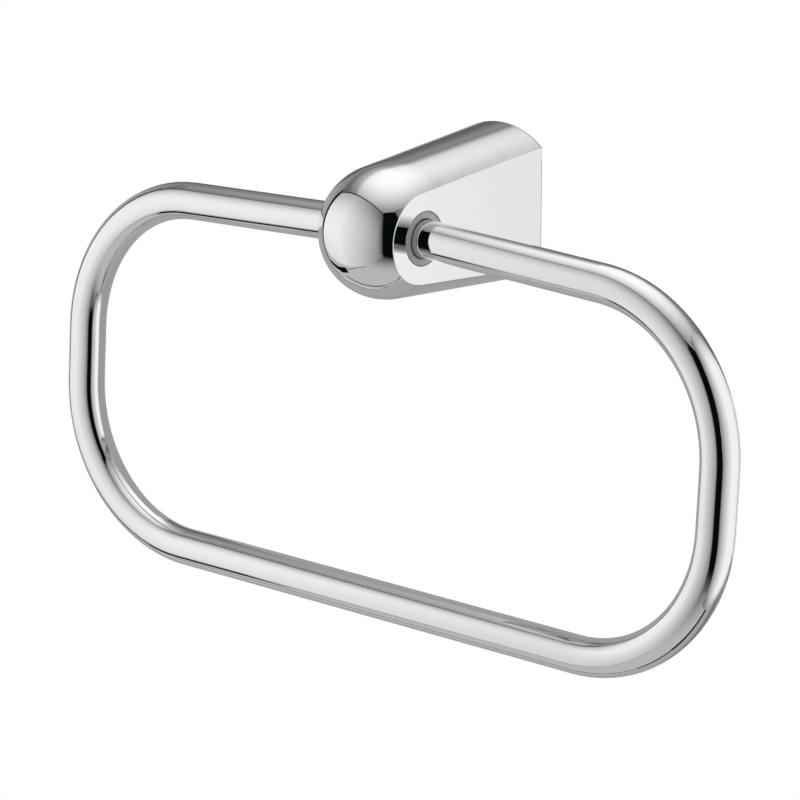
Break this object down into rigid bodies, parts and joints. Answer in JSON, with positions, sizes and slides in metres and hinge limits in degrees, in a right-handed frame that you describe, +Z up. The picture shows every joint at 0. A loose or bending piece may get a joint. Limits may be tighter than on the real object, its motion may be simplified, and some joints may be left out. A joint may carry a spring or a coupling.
{
  "type": "towel ring",
  "caption": "Chromed towel ring: a round-nosed wall post carries a bent rod loop that swings in plastic bushes, locked on a hidden wall bracket.",
  "frame": {"origin": "centre of the wall bracket's back face, in the plane of the wall", "axes": "+Y into the wall, -Y out into the room along the post, +Z up, +X to the right seen from the room"},
  "size_m": [0.2229, 0.065, 0.1232],
  "materials": {
    "chrome_post": "mirror-bright chrome plate",
    "chrome_rod": "mirror-bright chrome plate on a drawn rod",
    "grey_nylon": "moulded, matte mid-grey",
    "plain_zinc": "bare die-cast zinc, dull",
    "screw_steel": "stainless steel, turned"
  },
  "bodies": {
    "wall_post": {"post_body": "chrome_post", "left_bush": "grey_nylon", "right_bush": "grey_nylon", "wall_bracket": "plain_zinc", "grub_screw": "screw_steel"},
    "swinging_ring": {"ring": "chrome_rod"}
  },
  "joints": [
    {"name": "ring_swing", "type": "hinge", "parent": "wall_post", "child": "swinging_ring", "pos_m": [0, -0.0475, 0], "axis": [-1, 0, 0], "range_deg": [-28, 200]}
  ]
}
